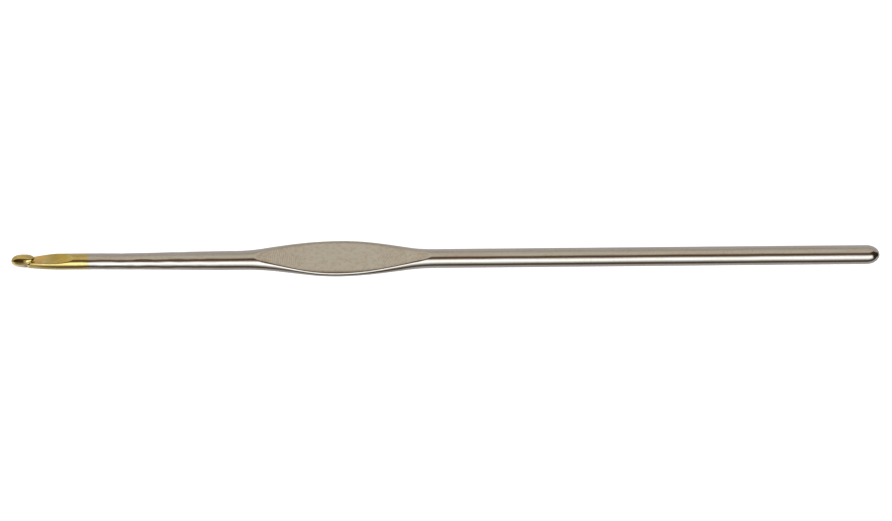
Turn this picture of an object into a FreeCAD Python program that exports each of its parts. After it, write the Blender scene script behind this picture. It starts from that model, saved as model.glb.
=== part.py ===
import FreeCAD, Part
import os
from math import cos, pi, radians, sin, sqrt, tan

# Steel crochet hook, drawn, pressed and ground from one piece of round wire and plated.
#
# Frame: +X runs from the tip of the hook to the butt of the handle, +Z is the normal of the
# thumb rest's flat face, and the hook lies on Z = 0. The origin is at the middle of its length,
# under its axis. Lengths along the hook are given from the tip, in millimetres.
#
# The hook is cut at the borders of its working zones: each zone is one solid, one file.

# --- stock and overall size ---
overall_length = 136.0
wire_diameter = 3.0             # the handle keeps the full wire
gauge_diameter = 2.55           # the drawn shank, which sets the stitch size

# --- borders of the zones, from the tip ---
head_end = 3.9                  # just past the lip, so the whole mouth is in the head
throat_end = 10.2               # the throat's floor has run out of the shank
gilding_end = 12.1              # gilt in front of this line, bare nickel plate behind it
gauge_end = 18.2                # the parallel, measured part of the shank ends here
taper_end = 32.5                # the taper has reached the full wire
shank_end = 35.8
pad_end = 66.2
butt_length = 2.04              # rounded end of the handle

# --- head and mouth, drawn with the mouth towards +Z and then turned ---
mouth_turn = 28.5               # degrees from the flat's normal (+Z) towards +Y
bead_centre = 2.3               # widest section of the head, from the tip
bead_radius = 1.005
bead_lift = 0.21                # the head sits off the axis, towards the mouth
bead_rear_length = 1.55         # rear half of the head, before the mouth cuts it
nose_fullness = 2.35            # 2 would be a half ellipse, more is blunter
nose_points = 12
back_radius = 42.0              # long arc of the neck
back_start = 8.2
neck_thinning = 0.02            # the neck's radius is this much less than the shank's there
neck_front = 1.5                # the neck starts inside the head
lip_end = 3.64
lip_height = 0.71               # height of the lip's point above the axis
lip_undercut = 22.0             # degrees between the lip's underside and the cross-section
mouth_root_radius = 0.14
floor_height = 0.36             # height of the throat's floor above the axis, at lip_end
floor_slope = 4.0               # degrees
floor_rise_start = 4.2
rise_radius = 40.0
rise_slope = 12.5               # degrees, where the floor runs out of the shank

# --- thumb rest ---
# The press has spread the metal a little more towards +Y than towards -Y. Each side bulges from
# the wire to its half width and back, over the lengths in front of and behind its widest place.
# Fullness is the exponent of the bulge: less than 1.5 is full, more is slender.
left_side = {
    "half_width": 3.04,         # towards +Y
    "centre": 51.6,
    "front_length": 14.3,
    "front_fullness": 1.1,
    "rear_length": 12.9,
    "rear_fullness": 1.2,
}
right_side = {
    "half_width": 2.80,         # towards -Y
    "centre": 51.0,
    "front_length": 14.5,
    "front_fullness": 2.1,
    "rear_length": 14.0,
    "rear_fullness": 1.33,
}
flat_half_thickness = 0.68
land_start = 49.3               # plane middle of each flat
land_end = 52.7
flat_front_end = 38.1           # tongues of the flat, where it runs out on the round wire
flat_rear_end = 65.8
section_count = 24

# --- values that follow ---
wire_radius = wire_diameter / 2
gauge_radius = gauge_diameter / 2
far = 4.0                       # larger than any section of the hook
axis_dir = FreeCAD.Vector(1, 0, 0)
axis_point = FreeCAD.Vector(0, 0, 0)


def point(x, z):
    """A point of the plane that holds the axis and +Z."""
    return FreeCAD.Vector(x, 0, z)


def line(start, end):
    return Part.makeLine(start, end)


def arc(start, middle, end):
    return Part.Arc(start, middle, end).toShape()


def turned(edges):
    """The solid that a half outline sweeps in one turn about the axis."""
    return Part.Face(Part.Wire(edges)).revolve(axis_point, axis_dir, 360)


def cylinder(start, end, radius):
    return Part.makeCylinder(radius, end - start, point(start, 0), axis_dir)


def slab(outline_edges):
    """An outline of the X-Z plane, thickened far past the hook on both sides."""
    face = Part.Face(Part.Wire(outline_edges))
    face.translate(FreeCAD.Vector(0, -far, 0))
    return face.extrude(FreeCAD.Vector(0, 2 * far, 0))


def between(solid, start, end):
    """The stretch of a solid between two cross-sections."""
    box = Part.makeBox(end - start, 2 * far, 2 * far, FreeCAD.Vector(start, -far, -far))
    return solid.common(box)


# --- head and throat ---

def bead():
    """The bullet head: a blunt nose and a half ellipsoid behind it, before the mouth is cut."""
    nose = []
    for step in range(nose_points + 1):
        share = sin(radians(90) * step / nose_points)
        x = bead_centre * (1 - share)
        nose.append(point(x, bead_radius * sqrt(1 - share ** nose_fullness)))
    nose_curve = Part.BSplineCurve()
    nose_curve.interpolate(Points=nose)
    rear_tip = bead_centre + bead_rear_length
    rear = Part.Ellipse(point(rear_tip, 0), point(bead_centre, bead_radius), point(bead_centre, 0))
    rear_edge = rear.toShape(0, radians(90))
    outline = [nose_curve.toShape(), rear_edge, line(point(rear_tip, 0), point(0, 0))]
    solid = turned(outline)
    solid.translate(point(0, bead_lift))
    return solid


def neck_radius(x):
    """The neck's radius in front of back_start: a long arc that ends parallel to the axis."""
    reach = back_start - min(x, back_start)
    return gauge_radius - neck_thinning - back_radius + sqrt(back_radius ** 2 - reach ** 2)


def neck():
    """The round blank of the throat, before its floor is ground."""
    middle = (neck_front + back_start) / 2
    front = point(neck_front, neck_radius(neck_front))
    shoulder = point(back_start, neck_radius(back_start))
    rise = arc(front, point(middle, neck_radius(middle)), shoulder)
    edges = [
        line(point(neck_front, 0), front),
        rise,
        line(shoulder, point(throat_end, gauge_radius)),
        line(point(throat_end, gauge_radius), point(throat_end, 0)),
        line(point(throat_end, 0), point(neck_front, 0)),
    ]
    return turned(edges)


def floor_line(x):
    """Height of the straight part of the throat's floor."""
    return floor_height + (x - lip_end) * tan(radians(floor_slope))


def floor_edges(front):
    """The floor from the cross-section at front to where it leaves the shank, and that end."""
    slope = radians(floor_slope)
    steep = radians(rise_slope)
    start = point(floor_rise_start, floor_line(floor_rise_start))
    centre = start + rise_radius * point(-sin(slope), cos(slope))
    halfway = (slope + steep) / 2
    middle = centre + rise_radius * point(sin(halfway), -cos(halfway))
    end = centre + rise_radius * point(sin(steep), -cos(steep))
    run_out = point(end.x + (far - end.z) / tan(steep), far)
    edges = [line(front, start), arc(start, middle, end), line(end, run_out)]
    return edges, run_out


def above_floor():
    """Everything that grinding takes from the neck."""
    front = point(0, floor_line(0))
    edges, run_out = floor_edges(front)
    return slab(edges + [line(run_out, point(0, far)), line(point(0, far), front)])


def behind_lip():
    """Everything that the mouth takes from the bead: the undercut, its root and the floor."""
    lean = tan(radians(lip_undercut))
    slope = tan(radians(floor_slope))
    lip_top = point(lip_end + (far - lip_height) * lean, far)
    root_z = (floor_height - slope * lip_height * lean) / (1 - slope * lean)
    root = point(lip_end - (lip_height - root_z) * lean, root_z)
    along_lip = (lip_top - root).normalize()
    along_floor = point(cos(radians(floor_slope)), sin(radians(floor_slope)))
    half_angle = along_lip.getAngle(along_floor) / 2
    setback = mouth_root_radius / tan(half_angle)
    bisector = (along_lip + along_floor).normalize()
    on_lip = root + along_lip * setback
    on_floor = root + along_floor * setback
    deepest = root + bisector * (mouth_root_radius / sin(half_angle) - mouth_root_radius)
    edges, run_out = floor_edges(on_floor)
    return slab([arc(on_lip, deepest, on_floor)] + edges
                + [line(run_out, lip_top), line(lip_top, on_lip)])


def turned_to_mouth(solid):
    """Turns the working end about the axis, so that its mouth faces away from +Z."""
    solid.rotate(axis_point, axis_dir, -mouth_turn)
    return solid


def working_end():
    ground_neck = neck().cut(above_floor())
    cut_bead = bead().cut(behind_lip())
    return turned_to_mouth(ground_neck.fuse(cut_bead).removeSplitter())


# --- shank ---

def shank_taper():
    edges = [
        line(point(gauge_end, 0), point(gauge_end, gauge_radius)),
        line(point(gauge_end, gauge_radius), point(taper_end, wire_radius)),
        line(point(taper_end, wire_radius), point(shank_end, wire_radius)),
        line(point(shank_end, wire_radius), point(shank_end, 0)),
        line(point(shank_end, 0), point(gauge_end, 0)),
    ]
    return turned(edges)


# --- thumb rest ---

def bulge(side, x):
    """How far one side has spread at x: 1 at its widest place, 0 on the round wire."""
    end = "front" if x < side["centre"] else "rear"
    reach = abs(x - side["centre"]) / side[end + "_length"]
    return cos(min(reach, 1) * pi / 2) ** side[end + "_fullness"]


def pad_section(x):
    """The spread oval at x, as high as the wire, before its flats."""
    left_share = bulge(left_side, x)
    right_share = bulge(right_side, x)
    left = wire_radius + (left_side["half_width"] - wire_radius) * left_share
    right = wire_radius + (right_side["half_width"] - wire_radius) * right_share
    half_width = (left + right) / 2
    centre = FreeCAD.Vector(x, (left - right) / 2, 0)
    side = centre + FreeCAD.Vector(0, half_width, 0)
    top = centre + FreeCAD.Vector(0, 0, wire_radius)
    return Part.Wire(Part.Ellipse(side, top, centre).toShape())


def between_flats():
    """The room between the two flats: a plane land, and an arc out to each tongue."""
    rise = wire_radius - flat_half_thickness
    front_run = land_start - flat_front_end
    rear_run = flat_rear_end - land_end
    front_radius = (front_run ** 2 + rise ** 2) / (2 * rise)
    rear_radius = (rear_run ** 2 + rise ** 2) / (2 * rise)

    def front_height(x):
        drop = sqrt(front_radius ** 2 - (land_start - x) ** 2)
        return flat_half_thickness + front_radius - drop

    def rear_height(x):
        drop = sqrt(rear_radius ** 2 - (x - land_end) ** 2)
        return flat_half_thickness + rear_radius - drop

    front = shank_end
    front_middle = (front + land_start) / 2
    rear_middle = (land_end + pad_end) / 2
    top = [
        arc(point(front, front_height(front)), point(front_middle, front_height(front_middle)),
            point(land_start, flat_half_thickness)),
        line(point(land_start, flat_half_thickness), point(land_end, flat_half_thickness)),
        arc(point(land_end, flat_half_thickness), point(rear_middle, rear_height(rear_middle)),
            point(pad_end, rear_height(pad_end))),
    ]
    bottom = [edge.mirror(axis_point, FreeCAD.Vector(0, 0, 1)) for edge in top]
    front_side = line(point(front, front_height(front)), point(front, -front_height(front)))
    rear_side = line(point(pad_end, rear_height(pad_end)), point(pad_end, -rear_height(pad_end)))
    outline = Part.__sortEdges__(top + bottom + [front_side, rear_side])
    return slab(outline)


def thumb_rest():
    front = min(side["centre"] - side["front_length"] for side in (left_side, right_side))
    rear = max(side["centre"] + side["rear_length"] for side in (left_side, right_side))
    sections = []
    for step in range(section_count + 1):
        sections.append(pad_section(front + (rear - front) * step / section_count))
    oval = Part.makeLoft(sections, True, False)
    front_wire = cylinder(shank_end, front, wire_radius)
    rear_wire = cylinder(rear, pad_end, wire_radius)
    room = between_flats()
    pressed = oval.common(room)
    return pressed.fuse([front_wire.common(room), rear_wire.common(room)]).removeSplitter()


# --- handle ---

def butt_end():
    """The rounded end of the handle, a half ellipsoid."""
    start = overall_length - butt_length
    tip = point(overall_length, 0)
    shoulder = point(start, wire_radius)
    oval = Part.Ellipse(tip, shoulder, point(start, 0))
    edges = [
        oval.toShape(0, radians(90)),
        line(shoulder, point(start, 0)),
        line(point(start, 0), tip),
    ]
    return turned(edges)


def write(name, solid):
    """Moves a zone from the axis frame to the hook's own frame and writes it."""
    placed = solid.copy()
    placed.translate(FreeCAD.Vector(-overall_length / 2, 0, wire_radius))
    if placed.ShapeType != "Solid":
        placed = placed.Solids[0]
    placed.exportStep(os.path.join("parts", name + ".step"))
    box = placed.BoundBox
    print(f"{name}: volume {placed.Volume:.3f} mm3, valid {placed.isValid()}, "
          f"x {box.XMin:.3f} to {box.XMax:.3f}, y {box.YMin:.3f} to {box.YMax:.3f}, "
          f"z {box.ZMin:.3f} to {box.ZMax:.3f}")


os.makedirs("parts", exist_ok=True)
end_piece = working_end()
write("hook_head", between(end_piece, -1, head_end))
write("throat", between(end_piece, head_end, throat_end))
write("gilt_shank", cylinder(throat_end, gilding_end, gauge_radius))
write("gauge_shank", cylinder(gilding_end, gauge_end, gauge_radius))
write("shank_taper", shank_taper())
write("thumb_rest", thumb_rest())
write("handle", cylinder(pad_end, overall_length - butt_length, wire_radius))
write("butt_end", butt_end())
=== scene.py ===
import math

import bmesh
import bpy
import numpy as np
import openvdb
from mathutils import Matrix, Vector


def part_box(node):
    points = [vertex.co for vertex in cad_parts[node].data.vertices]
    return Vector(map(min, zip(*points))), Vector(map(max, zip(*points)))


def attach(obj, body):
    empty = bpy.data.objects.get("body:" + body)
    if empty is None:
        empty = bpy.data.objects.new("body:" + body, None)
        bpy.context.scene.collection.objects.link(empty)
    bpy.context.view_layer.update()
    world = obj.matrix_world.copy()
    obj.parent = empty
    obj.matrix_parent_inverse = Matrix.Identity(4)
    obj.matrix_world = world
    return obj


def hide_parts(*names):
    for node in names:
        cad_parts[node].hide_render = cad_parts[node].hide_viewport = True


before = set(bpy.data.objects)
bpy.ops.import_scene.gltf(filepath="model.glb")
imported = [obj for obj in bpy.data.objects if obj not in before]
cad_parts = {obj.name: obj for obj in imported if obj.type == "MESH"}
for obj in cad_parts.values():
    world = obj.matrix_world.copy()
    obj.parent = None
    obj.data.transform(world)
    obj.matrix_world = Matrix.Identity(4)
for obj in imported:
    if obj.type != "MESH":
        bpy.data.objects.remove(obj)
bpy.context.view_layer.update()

# A plated steel crochet hook. Shapes are worked out in millimetres in the hook's axis frame:
# x runs from the tip of the head to the butt, y and z are measured from the hook's axis, and
# z is the normal of the thumb rest. finished_mesh() puts them into the row frame, in metres.

MM = 0.001

# ---------------------------------------------------------------- values from the frame

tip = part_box("hook_head")[0].x
axis_height = (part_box("handle")[0].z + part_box("handle")[1].z) / 2


def zone(node):
    """Where a CAD node starts and ends along the hook, in millimetres from the tip."""
    low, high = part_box(node)
    return (low.x - tip) / MM, (high.x - tip) / MM


def radius_of(node):
    low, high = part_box(node)
    return (high.z - low.z) / 2 / MM


wire_radius = radius_of("handle")
gauge_radius = radius_of("gauge_shank")
head_end = zone("hook_head")[1]
throat_end = zone("throat")[1]
gilding_end = zone("gilt_shank")[1]
gauge_end = zone("gauge_shank")[1]
shank_end = zone("shank_taper")[1]
pad_end = zone("thumb_rest")[1]
butt_start, overall_length = zone("butt_end")
taper_end = 32.5            # where the wire reaches its full radius

# ---------------------------------------------------------------- blends and unevenness


def smooth_step(value, start, end):
    share = np.clip((value - start) / (end - start), 0, 1)
    return share * share * (3 - 2 * share)


def smooth_min(a, b, width):
    """The lower of a and b, with the corner between them rounded over that width."""
    width = np.maximum(width, 1e-6)
    closeness = np.maximum(width - np.abs(a - b), 0) / width
    return np.minimum(a, b) - closeness ** 2 * width / 4


def smooth_max(a, b, width):
    return -smooth_min(-a, -b, width)


def unevenness(x, angle, waves):
    """Height of the shallow waves that drawing and polishing leave, in millimetres."""
    height = np.zeros(np.broadcast(x, angle).shape)
    for amplitude, length, turns, phase in waves:
        height = height + amplitude * np.sin(2 * math.pi * x / length + turns * angle + phase)
    return height


def wave_set(seed, count, amplitude, shortest, longest, most_turns):
    random = np.random.default_rng(seed)
    waves = []
    for _ in range(count):
        length = random.uniform(shortest, longest)
        turns = int(random.integers(2, most_turns + 1)) * int(random.choice((-1, 1)))
        phase = random.uniform(0, 2 * math.pi)
        waves.append((amplitude * length / longest, length, turns, phase))
    return waves


shank_waves = wave_set(seed=11, count=16, amplitude=0.0030, shortest=1.2, longest=6.0, most_turns=5)
handle_waves = wave_set(seed=12, count=10, amplitude=0.0016, shortest=3.0, longest=18.0, most_turns=3)

# Shallow flats left by handling: place, angle about the axis, half length, half width, depth.
dents = (
    (20.8, math.radians(75), 1.2, 0.09, 0.022),
    (25.6, math.radians(78), 1.1, 0.12, 0.008),
    (15.2, math.radians(20), 1.3, 0.16, 0.008),
    (29.0, math.radians(15), 2.0, 0.15, 0.007),
    (92.0, math.radians(72), 3.0, 0.10, 0.004),
    (118.0, math.radians(18), 2.4, 0.12, 0.004),
)


def dent_depth(x, angle):
    depth = np.zeros(np.broadcast(x, angle).shape)
    for place, direction, length, width, deepest in dents:
        # the mesh's angle starts at +Y, the dents' at the front horizon, -Y
        turn = np.angle(np.exp(1j * (math.pi - angle - direction)))
        depth = depth + deepest * np.exp(-((x - place) / length) ** 4 - (turn / width) ** 2)
    return depth


front_bend = 0.06           # the drawn end stands this far off the handle's axis, towards +Y
bend_stretch = (12.5, 18.0)
shank_waves_end = (24, 40)  # the shank's waves run out here
handle_waves_start = (30, 45)


def bend(x):
    return front_bend * (1 - smooth_step(x, *bend_stretch))


# ---------------------------------------------------------------- the round wire and the thumb rest

left_side = dict(half_width=3.04, centre=51.6, front_length=14.3, front_fullness=1.0,
                 rear_length=12.9, rear_fullness=1.2, edge_rounding=0.36)
right_side = dict(half_width=2.80, centre=51.0, front_length=14.5, front_fullness=2.1,
                  rear_length=14.0, rear_fullness=1.33, edge_rounding=0.15)
flat_half_thickness = 0.68
flat_crown = 0.19           # how far the flat falls away at its edges
land_start = 49.3
land_end = 52.7
flat_front_end = 38.1
flat_rear_end = 65.8


def bulge(side, x):
    front = x < side["centre"]
    length = np.where(front, side["front_length"], side["rear_length"])
    fullness = np.where(front, side["front_fullness"], side["rear_fullness"])
    reach = smooth_min(np.abs(x - side["centre"]) / length, 1.0, 0.15)
    return np.cos(reach * math.pi / 2) ** fullness


def blank_radius(x):
    """The wire after drawing: parallel shank, taper, full wire, rounded butt."""
    slope = (wire_radius - gauge_radius) / (taper_end - gauge_end)
    taper = gauge_radius + (x - gauge_end) * slope
    radius = smooth_max(gauge_radius, smooth_min(taper, wire_radius, 0.05), 0.05)
    butt = np.clip((x - butt_start) / (overall_length - butt_start), 0, 1)
    return radius * np.sqrt(1 - butt ** 2)


def flat_height(x):
    """Half the thickness that the press leaves at x."""
    rise = wire_radius - flat_half_thickness
    front_run = land_start - flat_front_end
    rear_run = flat_rear_end - land_end
    front_radius = (front_run ** 2 + rise ** 2) / (2 * rise)
    rear_radius = (rear_run ** 2 + rise ** 2) / (2 * rise)
    ahead = np.clip(land_start - x, 0, front_radius)
    behind = np.clip(x - land_end, 0, rear_radius)
    front_rise = front_radius - np.sqrt(front_radius ** 2 - ahead ** 2)
    rear_rise = rear_radius - np.sqrt(rear_radius ** 2 - behind ** 2)
    return flat_half_thickness + front_rise + rear_rise


def rod_surface(x, angle):
    """Points (x, y, z) of the rod behind the throat, and the masks that its finish and its painted shade
    follow.
    """
    base = blank_radius(x)
    left_share = bulge(left_side, x)
    right_share = bulge(right_side, x)
    left = base + (left_side["half_width"] - wire_radius) * left_share
    right = base + (right_side["half_width"] - wire_radius) * right_share
    shank_part = smooth_step(x, throat_end, throat_end + 1.5) * (1 - smooth_step(x, *shank_waves_end))
    handle_part = smooth_step(x, *handle_waves_start)
    wobble = shank_part * unevenness(x, angle, shank_waves)
    wobble = wobble + handle_part * unevenness(x, angle, handle_waves)
    wobble = wobble * base / wire_radius - dent_depth(x, angle)
    y = (left - right) / 2 + ((left + right) / 2 + wobble) * np.cos(angle) + bend(x)
    z = (base + wobble) * np.sin(angle)
    crown = flat_crown * (left_share + right_share) / 2 * np.cos(angle) ** 6
    limit = flat_height(x) - crown
    widest = np.where(np.cos(angle) > 0, left_side["edge_rounding"], right_side["edge_rounding"])
    rounding = np.clip(0.7 * (base - limit), 0.02, widest)
    pressed = np.sign(z) * smooth_min(np.abs(z), limit, rounding)
    removed = np.abs(z) - limit
    flat = smooth_step(removed, 0.0, 0.08)
    edge = np.clip(1 - np.abs(removed) / (1.5 * rounding), 0, 1)
    masks = {
        "wear": edge * smooth_step(base - limit, 0.0, 0.2),
        "pressed": flat,
        # painted shade: a band along the flat's edges, where the crown turns it away from the light,
        # gets a darker brown colour
        "flat_edge_shade": flat * (1 - smooth_step(removed, 0.08, 0.38)),
        "front_marks": flat * smooth_step(x, 37.8, 40.5) * (1 - smooth_step(x, 44.5, 47.5)),
        "rear_marks": flat * smooth_step(x, 57.0, 58.5) * (1 - smooth_step(x, 60.8, 62.8)),
    }
    return np.stack(np.broadcast_arrays(x, y, pressed), axis=-1), masks


# ---------------------------------------------------------------- meshes


def finished_mesh(name, points, faces, caps, attributes):
    """A closed mesh in the row frame. caps are the flat faces between two zones."""
    placed = np.asarray(points, float) * MM
    placed[:, 0] += tip
    placed[:, 2] += axis_height
    mesh = bpy.data.meshes.new(name)
    mesh.from_pydata(placed.tolist(), [], [list(f) for f in faces] + [list(f) for f in caps])
    smooth = [True] * len(faces) + [False] * len(caps)
    mesh.polygons.foreach_set("use_smooth", smooth)
    for title, values in attributes.items():
        layer = mesh.attributes.new(title, "FLOAT", "POINT")
        layer.data.foreach_set("value", np.asarray(values, np.float32))
    mesh.update()
    editable = bmesh.new()
    editable.from_mesh(mesh)
    bmesh.ops.recalc_face_normals(editable, faces=editable.faces)
    for edge in editable.edges:
        rim = len(edge.link_faces) == 2 and edge.link_faces[0].smooth != edge.link_faces[1].smooth
        edge.smooth = not rim
    editable.to_mesh(mesh)
    editable.free()
    piece = bpy.data.objects.new(name, mesh)
    bpy.context.scene.collection.objects.link(piece)
    return piece


def rod_piece(name, start, end, step, around, closed_tip=False):
    """One zone of the rod as a grid of quads between two cross-sections."""
    count = max(2, round((end - start) / step))
    share = np.linspace(0, 1, count + 1)
    if closed_tip:
        share = np.sin(share * math.pi / 2)[:-1]
    x = (start + (end - start) * share)[:, None]
    angle = np.linspace(0, 2 * math.pi, around, endpoint=False)[None, :]
    points, masks = rod_surface(x, angle)
    rows = len(share)
    grid = np.arange(rows * around).reshape(rows, around)
    faces = []
    for row in range(rows - 1):
        ahead = np.roll(grid[row], -1)
        above = np.roll(grid[row + 1], -1)
        faces.extend(zip(grid[row], ahead, above, grid[row + 1]))
    points = points.reshape(-1, 3)
    masks = {title: np.broadcast_to(mask, (rows, around)).reshape(-1) for title, mask in masks.items()}
    caps = [grid[0][::-1]]
    if closed_tip:
        pole = len(points)
        points = np.vstack([points, [end, bend(end), 0]])
        masks = {title: np.append(mask, 0) for title, mask in masks.items()}
        last = grid[-1]
        faces.extend((last[i], last[(i + 1) % around], pole) for i in range(around))
    else:
        caps.append(grid[-1])
    faces = [[int(i) for i in face] for face in faces]
    caps = [[int(i) for i in face] for face in caps]
    return finished_mesh(name, points, faces, caps, masks)


# ---------------------------------------------------------------- head and throat

# Directions across the hook: "up" points out of the mouth, "side" lies across it. The throat's
# floor twists a little on its way back, because it was ground on a wheel held askew.

mouth_turn = math.radians(32.0)     # from the thumb rest's normal towards +Y
bead_turn = math.radians(2.7)       # the head is rolled this much further the other way
bead_centre = 2.22
bead_half_width = 1.04
bead_half_height = 0.94
bead_squareness = 3.0               # 2 is a round section, more is squarer
bead_lift = 0.266
nose_fullness = 2.7
nose_drop = 0.09                    # away from the mouth
nose_lean = -0.06                   # towards the near side
bead_rear_length = 1.52
bead_rear_bluntness = 2.26
bead_rear_fullness = 1.06
lip_lean = -0.047
lip_rise = 0.55                     # the lip's point stands this much further towards the mouth
near_cheek = 0.922                  # half widths of the two ground cheeks at the bead's centre
near_cheek_flare = 0.245            # and how fast they widen towards the lip
far_cheek = 1.03
far_cheek_flare = -0.056
cheek_lean = math.radians(17.1)
cheek_rounding = 0.61
lip_end = 3.8
lip_height = 0.55
lip_undercut = math.radians(41.0)
lip_rounding = 0.06
root_rounding = 0.16
crease_rounding = 0.06
neck_front = 1.80                   # the neck starts inside the head, with a rounded front
neck_front_rounding = 1.22
back_radius = 49.0
back_start = 8.2
floor_start = 3.62
floor_height = 0.375
floor_slope = 0.072
floor_curve = 0.013
floor_twist = math.radians(4.7)
floor_twist_rate = math.radians(-5.4)
floor_edge_rounding = 0.10
voxel = 0.03
settling_rounds = 4                 # of moving the voxel mesh onto the exact surface


def bead_level(x, side, up):
    """Less than 0 inside the head, before the cheeks are ground and the mouth is cut."""
    back = (x - bead_centre) / bead_rear_length
    ahead = (bead_centre - x) / bead_centre
    behind = np.clip(back, 0, 1.3) ** 2
    before = np.clip(ahead, 0, 1.2) ** 2
    centre = bead_lift + lip_rise * behind - nose_drop * before
    lean = lip_lean * behind + nose_lean * before
    across = np.abs((side - lean) / bead_half_width) ** bead_squareness
    upward = np.abs((up - centre) / bead_half_height) ** bead_squareness
    off_axis = (across + upward + 1e-12) ** (1 / bead_squareness)
    fullness = 2 + (bead_rear_fullness - 2) * smooth_step(back, -0.2, 0.25)
    ends = np.maximum(ahead, 0) ** nose_fullness + np.maximum(back, 0) ** bead_rear_bluntness
    return off_axis ** fullness + ends - 1


def bead_distance(x, side, up):
    """The level divided by its slope is close to the distance. Then the two cheeks are ground."""
    reach = 0.004
    slope_x = bead_level(x + reach, side, up) - bead_level(x - reach, side, up)
    slope_side = bead_level(x, side + reach, up) - bead_level(x, side - reach, up)
    slope_up = bead_level(x, side, up + reach) - bead_level(x, side, up - reach)
    slope = np.sqrt(slope_x ** 2 + slope_side ** 2 + slope_up ** 2) / (2 * reach)
    bead = bead_level(x, side, up) / np.maximum(slope, 0.3)
    for outward, half_width, flare in ((-side, near_cheek, near_cheek_flare),
                                       (side, far_cheek, far_cheek_flare)):
        cheek = outward * math.cos(cheek_lean) + (up - bead_lift) * math.sin(cheek_lean)
        cheek = cheek - half_width - flare * (x - bead_centre)
        bead = smooth_max(bead, cheek, cheek_rounding)
    return bead


def neck_distance(x, side, up):
    reach = back_start - np.minimum(x, back_start)
    radius = gauge_radius - back_radius + np.sqrt(back_radius ** 2 - reach ** 2)
    return np.sqrt(side ** 2 + up ** 2) - radius


def floor_distance(x, side, up):
    """More than 0 above the throat's floor."""
    back = x - floor_start
    twist = floor_twist + floor_twist_rate * np.clip(back, -0.5, 7)
    level = floor_height + floor_slope * back + floor_curve * np.maximum(back, 0) ** 2
    return up * np.cos(twist) + side * np.sin(twist) - level


def mouth_axes(points):
    """x, side and up of points in the hook's axis frame."""
    y = points[..., 1] - front_bend
    z = points[..., 2]
    side = y * math.cos(mouth_turn) - z * math.sin(mouth_turn)
    up = z * math.cos(mouth_turn) + y * math.sin(mouth_turn)
    return points[..., 0], side, up


def working_end_distance(points):
    """Signed distance, near enough, to the head and throat. points are rows of x, y, z."""
    x, side, up = mouth_axes(points)
    above_floor = floor_distance(x, side, up)
    past_lip = (x - lip_end) * math.cos(lip_undercut) - (up - lip_height) * math.sin(lip_undercut)
    mouth = smooth_min(past_lip, above_floor, root_rounding)
    head_side = side * math.cos(bead_turn) + up * math.sin(bead_turn)
    head_up = up * math.cos(bead_turn) - side * math.sin(bead_turn)
    head = smooth_max(bead_distance(x, head_side, head_up), mouth, lip_rounding)
    neck = smooth_max(neck_distance(x, side, up), neck_front - x, neck_front_rounding)
    edge_width = floor_edge_rounding * (1 - smooth_step(x, throat_end - 1.0, throat_end - 0.1))
    neck = smooth_max(neck, above_floor, edge_width)
    return smooth_min(head, neck, crease_rounding)


def slopes(distance, points, reach=0.003):
    columns = []
    for axis in range(3):
        step = np.zeros(3)
        step[axis] = reach
        columns.append((distance(points + step) - distance(points - step)) / (2 * reach))
    return np.stack(columns, axis=-1)


def working_end_surface():
    """Quads on the head and throat, drawn onto the exact surface."""
    margin = 5 * voxel
    low = np.array([-margin, -gauge_radius - margin, -gauge_radius - margin])
    high = np.array([throat_end + margin, gauge_radius + 2 * margin, gauge_radius + margin])
    size = np.ceil((high - low) / voxel).astype(int)
    field = np.empty(size, np.float32)
    y = low[1] + voxel * np.arange(size[1])
    z = low[2] + voxel * np.arange(size[2])
    for layer in range(size[0]):
        x = low[0] + voxel * layer
        corners = np.stack(np.meshgrid([x], y, z, indexing="ij"), axis=-1)
        field[layer] = working_end_distance(corners)[0]
    past_end = low[0] + voxel * np.arange(size[0]) - throat_end - 2 * voxel
    field = np.maximum(field, past_end[:, None, None])
    grid = openvdb.FloatGrid(background=1.0)
    grid.copyFromArray(field)
    points, quads = grid.convertToQuads(isovalue=0.0)
    points = low + voxel * np.asarray(points, float)
    on_side = points[:, 0] < throat_end + voxel
    for _ in range(settling_rounds):
        slope = slopes(working_end_distance, points)
        distance = working_end_distance(points)
        move = slope * (distance / np.maximum((slope ** 2).sum(-1), 0.2))[:, None]
        points = points - np.where(on_side[:, None], np.clip(move, -voxel, voxel), 0)
    return points, quads


def working_end_pieces():
    """The head and the throat, cut apart at the border of their zones."""
    points, quads = working_end_surface()
    pieces = []
    for name, cuts in (("finished_hook_head", ((head_end, 1),)),
                       ("finished_throat", ((head_end, -1), (throat_end, 1)))):
        shape = bmesh.new()
        corners = [shape.verts.new(p) for p in points]
        for quad in quads:
            shape.faces.new([corners[i] for i in quad]).smooth = True
        for cut, outward in cuts:
            everything = shape.verts[:] + shape.edges[:] + shape.faces[:]
            bmesh.ops.bisect_plane(shape, geom=everything, dist=1e-6, plane_co=(cut, 0, 0),
                                   plane_no=(outward, 0, 0), clear_outer=True)
        rims = [edge for edge in shape.edges if edge.is_boundary]
        caps = bmesh.ops.edgeloop_fill(shape, edges=rims)["faces"]
        for cap in caps:
            cap.smooth = False
        shape.verts.index_update()
        position = np.array([v.co for v in shape.verts])
        sides = [[v.index for v in face.verts] for face in shape.faces if face.smooth]
        ends = [[v.index for v in face.verts] for face in shape.faces if not face.smooth]
        shape.free()
        pieces.append(finished_mesh(name, position, sides, ends, working_end_masks(position)))
    return pieces


worn_width = 0.14           # of the rubbed strip along the floor's edge


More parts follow.
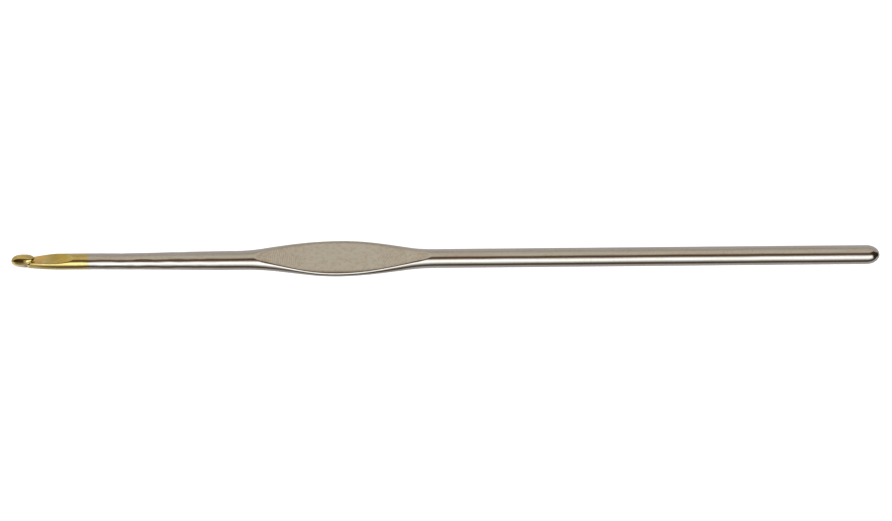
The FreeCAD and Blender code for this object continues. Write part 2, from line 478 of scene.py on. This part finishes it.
def working_end_masks(points):
    """The masks that the gilding follows: worn edges, a stain behind the lip, a painted reflection on
    the near cheek, and so on.
    """
    x, side, up = mouth_axes(points)
    from_floor = np.abs(floor_distance(x, side, up))
    rim = from_floor + np.abs(neck_distance(x, side, up))
    floor = (1 - smooth_step(from_floor, 0.05, 0.25)) * smooth_step(x, lip_end - 0.4, lip_end)
    near_side = smooth_step(-side, 0.2, 0.6)
    cheek = smooth_step(-side, 0.35, 0.7) * smooth_step(-up, -0.3, 0.0)
    worn_front = smooth_step(x, lip_end - 0.4, lip_end) * (1 - smooth_step(x, 5.5, 7.5))
    return {
        "wear": np.clip(1 - rim / worn_width, 0, 1) * worn_front,
        "stain": floor * (1 - smooth_step(x, 4.4, 6.4)),
        "pale": floor * near_side * smooth_step(x, 4.6, 5.2) * (1 - smooth_step(x, 6.4, 7.6)),
        "old": floor * smooth_step(x, 4.8, 7.0) * (1 - smooth_step(x, 8.6, 9.8)),
        # painted reflection: a pale pinkish tone on the near cheek, below the highlight, stands in for
        # the table's reflection
        "cheek_reflection": cheek * smooth_step(x, 0.6, 1.2) * (1 - smooth_step(x, 2.4, 3.0)),
    }


# ---------------------------------------------------------------- materials

nickel_colour = (0.675, 0.627, 0.547, 1)
nickel_pale = (0.705, 0.665, 0.600, 1)
nickel_brown = (0.555, 0.475, 0.370, 1)
nickel_dark = (0.360, 0.300, 0.235, 1)
gilt_colour = (0.740, 0.565, 0.140, 1)
gilt_deep = (0.700, 0.495, 0.090, 1)
gilt_pale = (0.820, 0.720, 0.360, 1)
gilt_copper = (0.800, 0.475, 0.045, 1)
# pale pinkish gilt, painted on the near cheek as the table's reflection
gilt_cheek_reflection = (0.800, 0.640, 0.460, 1)
gilt_old = (0.570, 0.390, 0.035, 1)
fade_length = 0.35          # the gilding runs out over this much each way
coat_weight = 0.9           # of the clear coat on the gilding
coat_roughness = 0.05
coat_ior = 1.85


def add_node(tree, kind, inputs, **settings):
    """Adds a shader node. inputs holds its constants and the sockets that feed it."""
    made = tree.nodes.new("ShaderNode" + kind)
    for key, value in settings.items():
        setattr(made, key, value)
    for key, value in inputs.items():
        if isinstance(value, bpy.types.NodeSocket):
            tree.links.new(value, made.inputs[key])
        else:
            made.inputs[key].default_value = value
    return made


def grain(tree, along, across, shift, detail=2.0):
    """Noise from 0 to 1 with cells this many millimetres along and across the hook."""
    place = add_node(tree, "TexCoord", {}).outputs["Object"]
    scale = (1 / (along * MM), 1 / (across * MM), 1 / (across * MM))
    inputs = {"Vector": place, "Scale": scale, "Location": (shift, 2 * shift, -shift)}
    mapped = add_node(tree, "Mapping", inputs)
    inputs = {"Vector": mapped.outputs["Vector"], "Scale": 1.0, "Detail": detail}
    return add_node(tree, "TexNoise", inputs).outputs["Fac"]


def arcs(tree, centre_x, centre_y, spacing):
    """Rings of grinding marks, 0 to 1, around an upright line beside the hook."""
    place = add_node(tree, "TexCoord", {}).outputs["Object"]
    centre = (-tip - centre_x * MM, -centre_y * MM, 0)
    mapped = add_node(tree, "Mapping", {"Vector": place, "Location": centre})
    inputs = {"Vector": mapped.outputs["Vector"], "Scale": math.pi / 10 / (spacing * MM),
              "Distortion": 5.0, "Detail": 2.0, "Detail Scale": 0.6}
    wave = add_node(tree, "TexWave", inputs, wave_type="RINGS", rings_direction="Z")
    return wave.outputs["Fac"]


def levels(tree, value, low, high, bottom=0.0, top=1.0):
    """Spreads the range low to high of a value smoothly over bottom to top."""
    inputs = {"Value": value, "From Min": low, "From Max": high, "To Min": bottom, "To Max": top}
    return add_node(tree, "MapRange", inputs, interpolation_type="SMOOTHSTEP").outputs["Result"]


def combine(tree, operation, first, second):
    return add_node(tree, "Math", {0: first, 1: second}, operation=operation).outputs["Value"]


def blend(tree, factor, first, second):
    """Mixes two colours, 0 for the first and 1 for the second."""
    inputs = {0: factor, 6: first, 7: second}
    return add_node(tree, "Mix", inputs, data_type="RGBA").outputs[2]


def mask(tree, title):
    return add_node(tree, "Attribute", {}, attribute_name=title).outputs["Fac"]


def plated_steel(name):
    """Bright nickel plate, gilt in front of the gilding's end, with the marks of its making and use,
    painted shade along the thumb rest's flat edges and a painted reflection on the head's near cheek.
    """
    material = bpy.data.materials.new(name)
    material.use_nodes = True
    tree = material.node_tree
    shader = tree.nodes["Principled BSDF"]

    clouds = grain(tree, 9.0, 1.6, 3.1, 3.0)
    drawn = levels(tree, mask(tree, "pressed"), 0.0, 1.0, 1.0, 0.25)
    streaks = combine(tree, "MULTIPLY", grain(tree, 16.0, 0.32, 7.7, 3.0), drawn)
    scratches = combine(tree, "MULTIPLY", grain(tree, 7.0, 0.05, 1.3, 1.0), drawn)
    mottle = grain(tree, 0.55, 0.40, 5.9, 3.0)
    specks = grain(tree, 0.24, 0.20, 9.4, 1.0)
    marks = combine(tree, "ADD",
                    combine(tree, "MULTIPLY", arcs(tree, 50.0, -1.0, 0.33), mask(tree, "front_marks")),
                    combine(tree, "MULTIPLY", arcs(tree, 66.0, -5.0, 0.36), mask(tree, "rear_marks")))
    marks = combine(tree, "MULTIPLY", marks, levels(tree, clouds, 0.35, 0.62, 0.2, 1.0))
    # painted shade along the flat's edges, mottled, darkens the nickel towards brown and roughens it
    flat_edge_shade = combine(tree, "MULTIPLY", mask(tree, "flat_edge_shade"),
                      levels(tree, mottle, 0.30, 0.65, 0.25, 0.75))
    speck_mask = levels(tree, specks, 0.70, 0.80)
    scratch_mask = levels(tree, scratches, 0.60, 0.74)

    nickel = blend(tree, levels(tree, clouds, 0.35, 0.68, 0.0, 0.8), nickel_colour, nickel_pale)
    nickel = blend(tree, levels(tree, streaks, 0.50, 0.74, 0.0, 0.45), nickel, nickel_brown)
    mottling = levels(tree, mask(tree, "pressed"), 0.0, 1.0, 0.25, 0.60)
    mottling = combine(tree, "MULTIPLY", levels(tree, mottle, 0.42, 0.72), mottling)
    nickel = blend(tree, mottling, nickel, nickel_brown)
    nickel = blend(tree, flat_edge_shade, nickel, nickel_brown)
    nickel = blend(tree, combine(tree, "MULTIPLY", marks, levels(tree, mottle, 0.2, 0.6, 0.30, 0.75)),
                   nickel, nickel_brown)
    rubbed = combine(tree, "MULTIPLY", mask(tree, "wear"), levels(tree, streaks, 0.3, 0.6, 0.1, 0.6))
    nickel = blend(tree, rubbed, nickel, nickel_pale)

    patches = grain(tree, 1.5, 0.55, 2.4, 3.0)
    blotches = grain(tree, 0.7, 0.35, 6.6, 2.0)
    gilt = blend(tree, levels(tree, patches, 0.38, 0.64), gilt_colour, gilt_deep)
    gilt = blend(tree, levels(tree, blotches, 0.52, 0.74, 0.0, 0.6), gilt, gilt_pale)
    stain = combine(tree, "MULTIPLY", mask(tree, "stain"), levels(tree, blotches, 0.30, 0.60, 0.45, 1.0))
    gilt = blend(tree, stain, gilt, gilt_copper)
    pale = combine(tree, "MULTIPLY", mask(tree, "pale"), levels(tree, blotches, 0.42, 0.64, 0.0, 0.6))
    gilt = blend(tree, pale, gilt, gilt_pale)
    old = combine(tree, "MULTIPLY", mask(tree, "old"), levels(tree, patches, 0.30, 0.60, 0.5, 1.0))
    gilt = blend(tree, old, gilt, gilt_old)
    # painted reflection of the table on the near cheek, blotched
    cheek_reflection = combine(tree, "MULTIPLY", mask(tree, "cheek_reflection"), levels(tree, patches, 0.30, 0.60, 0.4, 0.95))
    gilt = blend(tree, cheek_reflection, gilt, gilt_cheek_reflection)
    worn = combine(tree, "MULTIPLY", mask(tree, "wear"), levels(tree, blotches, 0.35, 0.65, 0.0, 0.6))
    gilt = blend(tree, worn, gilt, nickel_pale)

    place = add_node(tree, "TexCoord", {}).outputs["Object"]
    along = add_node(tree, "SeparateXYZ", {"Vector": place}).outputs["X"]
    ragged = combine(tree, "MULTIPLY_ADD", levels(tree, blotches, 0.3, 0.7), 0.5 * fade_length * MM)
    ragged.node.inputs[2].default_value = -0.25 * fade_length * MM
    fade_start = tip + (gilding_end - fade_length) * MM
    fade_end = tip + (gilding_end + fade_length) * MM
    bare = levels(tree, combine(tree, "ADD", along, ragged), fade_start, fade_end)
    plate = blend(tree, bare, gilt, nickel)
    scratched = combine(tree, "MULTIPLY", scratch_mask, levels(tree, clouds, 0.3, 0.7, 0.15, 0.5))
    plate = blend(tree, scratched, plate, nickel_dark)
    pitted = combine(tree, "MULTIPLY", speck_mask, levels(tree, clouds, 0.3, 0.7, 0.9, 0.3))
    plate = blend(tree, pitted, plate, nickel_dark)
    tree.links.new(plate, shader.inputs["Base Color"])
    shader.inputs["Metallic"].default_value = 1.0

    rough = combine(tree, "ADD", levels(tree, clouds, 0.3, 0.7, 0.070, 0.105),
                    levels(tree, streaks, 0.4, 0.75, 0.0, 0.045))
    rough = combine(tree, "ADD", rough, levels(tree, marks, 0.0, 1.0, 0.0, 0.12))
    rough = combine(tree, "ADD", rough, levels(tree, flat_edge_shade, 0.0, 0.8, 0.0, 0.10))
    rough = combine(tree, "ADD", rough, levels(tree, scratch_mask, 0.0, 1.0, 0.0, 0.08))
    tree.links.new(rough, shader.inputs["Roughness"])
    lacquer = levels(tree, bare, 0.0, 1.0, coat_weight, 0.0)
    tree.links.new(lacquer, shader.inputs["Coat Weight"])
    shader.inputs["Coat Roughness"].default_value = coat_roughness
    shader.inputs["Coat IOR"].default_value = coat_ior

    # Heights in micrometres: drawing lines, long waves across them, scratches, pits and marks.
    height = levels(tree, scratches, 0.25, 0.75, 0.0, 0.45)
    for feature, low, high, depth in ((streaks, 0.3, 0.7, 1.6), (scratch_mask, 0, 1, -0.7),
                                      (speck_mask, 0, 1, -4.0), (mottle, 0.3, 0.7, 0.9),
                                      (marks, 0, 1, 2.2)):
        height = combine(tree, "ADD", height, levels(tree, feature, low, high, 0.0, depth))
    bump = add_node(tree, "Bump", {"Strength": 1.0, "Distance": 0.001 * MM, "Height": height})
    tree.links.new(bump.outputs["Normal"], shader.inputs["Normal"])
    return material


nickel = plated_steel("nickel_plate")
gilt = plated_steel("gilt_plate")


def finish(piece, node, material):
    piece.data.materials.append(material)
    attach(piece, "root")
    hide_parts(node)


head_piece, throat_piece = working_end_pieces()
finish(head_piece, "hook_head", gilt)
finish(throat_piece, "throat", gilt)

# node, start, end, step along, points around, material, slot
rod_zones = (
    ("gilt_shank", throat_end, gilding_end, 0.10, 144, gilt, "gilt"),
    ("gauge_shank", gilding_end, gauge_end, 0.12, 144, nickel, "nickel"),
    ("shank_taper", gauge_end, shank_end, 0.15, 144, nickel, "nickel"),
    ("thumb_rest", shank_end, pad_end, 0.10, 256, nickel, "nickel"),
    ("handle", pad_end, butt_start, 0.40, 128, nickel, "nickel"),
    ("butt_end", butt_start, overall_length, 0.04, 128, nickel, "nickel"),
)
for node, start, end, step, around, material, slot in rod_zones:
    piece = rod_piece("finished_" + node, start, end, step, around, closed_tip=node == "butt_end")
    finish(piece, node, material)

# ---------------------------------------------------------------- studio

tent_radius = 0.6           # of the light tent around the hook
tent_front = -2.2           # its closed end, beyond the hook's tip
tent_rear = 1.5             # its open end, beyond the butt
tent_rows = 145             # of corners around it
tent_columns = 75           # and along it
softbox_light = np.array((0.95, 1.02, 1.10)) * 2.4
softbox_core = np.array((2.5, 2.5, 3.2))    # how much brighter its middle is over the gilding
sheet_light = np.array((0.630, 0.593, 0.530))
table_light = np.array((0.500, 0.487, 0.510))
gap_light = np.array((0.118, 0.072, 0.046))
front_light = np.array((0.082, 0.064, 0.043))
room_light = np.array((0.37, 0.34, 0.31))
# Where each light starts and ends around the tent, in degrees from the front horizon.
softbox_rise = (-9, 55)
softbox_fall = (28, 72)
gap_end = 82                # of the dark gap between softbox and sheet, over the hook
gap_widening = 43           # towards the butt's side of the tent
sheet_blend = 21
sheet_fade = (115, 165)
table_fall = (-45, -20)
table_rise = (134, 186)
table_lift = 38             # of the table's front edge, beside the head
# Where they change along the tent, in metres from the hook's middle.
softbox_front = (-0.27, -0.20)
softbox_rear = (0.45, 0.75)
core_end = (-0.108, -0.094)
gap_widens = (0.2, 0.9)
lift_end = (-0.26, -0.11)
front_glow_end = (-0.35, -0.15)
back_glow_start = (-0.55, -0.35)
back_glow_end = (-0.2, -0.1)
room_start = (0.9, 1.6)     # beyond the hook's tip


def tent_light(angle, x):
    """Light from the tent, at an angle of 0 for the front horizon and 90 for overhead.

    A bright softbox in front, a warm sheet overhead and a grey table behind and below, with dark
    gaps between them. x is the place along the tent, whose -X end is a pale wall.
    """
    along = smooth_step(x, *softbox_front) * (1 - smooth_step(x, *softbox_rear))
    softbox = smooth_step(angle, *softbox_rise) * (1 - smooth_step(angle, *softbox_fall)) * along
    gap_edge = gap_end + gap_widening * smooth_step(x, *gap_widens)
    sheet = smooth_step(angle, gap_edge, gap_edge + sheet_blend)
    lift = table_lift * (1 - smooth_step(x, *lift_end))
    table = 1 - smooth_step(angle, table_fall[0] + lift, table_fall[1] + lift)
    table = np.maximum(smooth_step(angle, *table_rise), table)
    fade = 1 - 0.36 * smooth_step(angle, *sheet_fade)
    dark = front_light + (gap_light - front_light) * smooth_step(angle, 30, 50)
    dark = dark * (1 - 0.60 * smooth_step(abs(x), 0.2, 0.6))
    room = smooth_step(-x, *room_start)
    dark = dark * (1 - room) + room_light * room
    core = 1 + softbox_core * softbox ** 5 * (1 - smooth_step(x, *core_end))
    glow = 0.30 * smooth_step(x, *back_glow_start) * (1 - smooth_step(x, *back_glow_end))
    back_glow = 1 + glow * smooth_step(angle, 110, 140)
    front_glow = 1 + 0.8 * (1 - smooth_step(x, *front_glow_end)) * (1 - smooth_step(angle, -10, 20))
    light = dark * (1 - max(sheet, table)) + softbox_light * softbox * core
    light = light + sheet_light * sheet * fade * (1 - table) * back_glow
    return light + table_light * table * back_glow * front_glow


def light_tent():
    """A tube of soft light around the hook. Only what the hook reflects shows it."""
    angles = np.linspace(-60, 300, tent_rows)
    places = np.linspace(tent_front, tent_rear, tent_columns)
    points = []
    colours = []
    for angle in angles:
        for x in places:
            turn = math.radians(angle)
            points.append((x, -tent_radius * math.cos(turn), axis_height + tent_radius * math.sin(turn)))
            colours.extend((*tent_light(angle, x), 1.0))
    across = len(places)
    faces = []
    for row in range(len(angles) - 1):
        for column in range(across - 1):
            corner = row * across + column
            faces.append((corner, corner + 1, corner + across + 1, corner + across))
    wall = range(len(points), len(points) + len(angles))
    for row in range(len(angles)):
        points.append(points[row * across])
        colours.extend((*room_light, 1.0))
    points.append((tent_front, 0, axis_height))
    colours.extend((*room_light, 1.0))
    faces.extend((wall[row], wall[row + 1], len(points) - 1) for row in range(len(angles) - 1))
    mesh = bpy.data.meshes.new("light_tent")
    mesh.from_pydata(points, [], faces)
    mesh.attributes.new("light", "FLOAT_COLOR", "POINT").data.foreach_set("color", colours)
    material = bpy.data.materials.new("tent_light")
    material.use_nodes = True
    nodes = material.node_tree.nodes
    nodes.clear()
    colour = nodes.new("ShaderNodeAttribute")
    colour.attribute_name = "light"
    glow = nodes.new("ShaderNodeEmission")
    output = nodes.new("ShaderNodeOutputMaterial")
    material.node_tree.links.new(colour.outputs["Color"], glow.inputs["Color"])
    material.node_tree.links.new(glow.outputs["Emission"], output.inputs["Surface"])
    mesh.materials.append(material)
    tent = bpy.data.objects.new("light_tent", mesh)
    bpy.context.scene.collection.objects.link(tent)
    tent.visible_camera = False
    tent.visible_shadow = False


light_tent()

floor_reach = 3.0           # each way from the hook
floor_mesh = bpy.data.meshes.new("floor")
floor_corners = [(x * floor_reach, y * floor_reach, 0) for x, y in ((-1, -1), (1, -1), (1, 1), (-1, 1))]
floor_mesh.from_pydata(floor_corners, [], [(0, 1, 2, 3)])
floor = bpy.data.objects.new("floor", floor_mesh)
bpy.context.scene.collection.objects.link(floor)
floor_material = bpy.data.materials.new("pale_floor")
floor_material.use_nodes = True
floor_shader = floor_material.node_tree.nodes["Principled BSDF"]
floor_shader.inputs["Base Color"].default_value = (0.93, 0.93, 0.93, 1)
floor_shader.inputs["Roughness"].default_value = 1.0
floor_shader.inputs["Specular IOR Level"].default_value = 0.0
floor_shader.inputs["Emission Color"].default_value = (1, 1, 1, 1)
floor_shader.inputs["Emission Strength"].default_value = 0.85
floor_mesh.materials.append(floor_material)
floor.visible_glossy = False

world = bpy.data.worlds.new("studio")
world.use_nodes = True
world.node_tree.nodes["Background"].inputs["Color"].default_value = (0.035, 0.024, 0.018, 1)
bpy.context.scene.world = world

# ---------------------------------------------------------------- camera

lens = 200.0
sensor = 36.0
tilt = math.radians(20.0)       # of the camera's line of sight from the thumb rest's normal
roll = math.radians(0.53)
frame_width = 139.7 * MM        # what the picture spans at the hook's distance
target_x = 0.10 * MM
target_up = -0.32 * MM

camera_data = bpy.data.cameras.new("camera")
camera_data.lens = lens
camera_data.sensor_width = sensor
camera_data.clip_start = 0.01
camera = bpy.data.objects.new("camera", camera_data)
bpy.context.scene.collection.objects.link(camera)
sight = Vector((0, -math.sin(tilt), math.cos(tilt)))
up = Vector((0, math.cos(tilt), math.sin(tilt)))
target = Vector((target_x, 0, axis_height)) + up * target_up
place = target + sight * (frame_width * lens / sensor)
turn = Matrix.Rotation(-roll, 4, sight) @ Matrix((
    (1, 0, 0, 0), (0, up.y, sight.y, 0), (0, up.z, sight.z, 0), (0, 0, 0, 1)))
camera.matrix_world = Matrix.Translation(place) @ turn
bpy.context.scene.camera = camera
bpy.context.scene.view_settings.view_transform = "Standard"
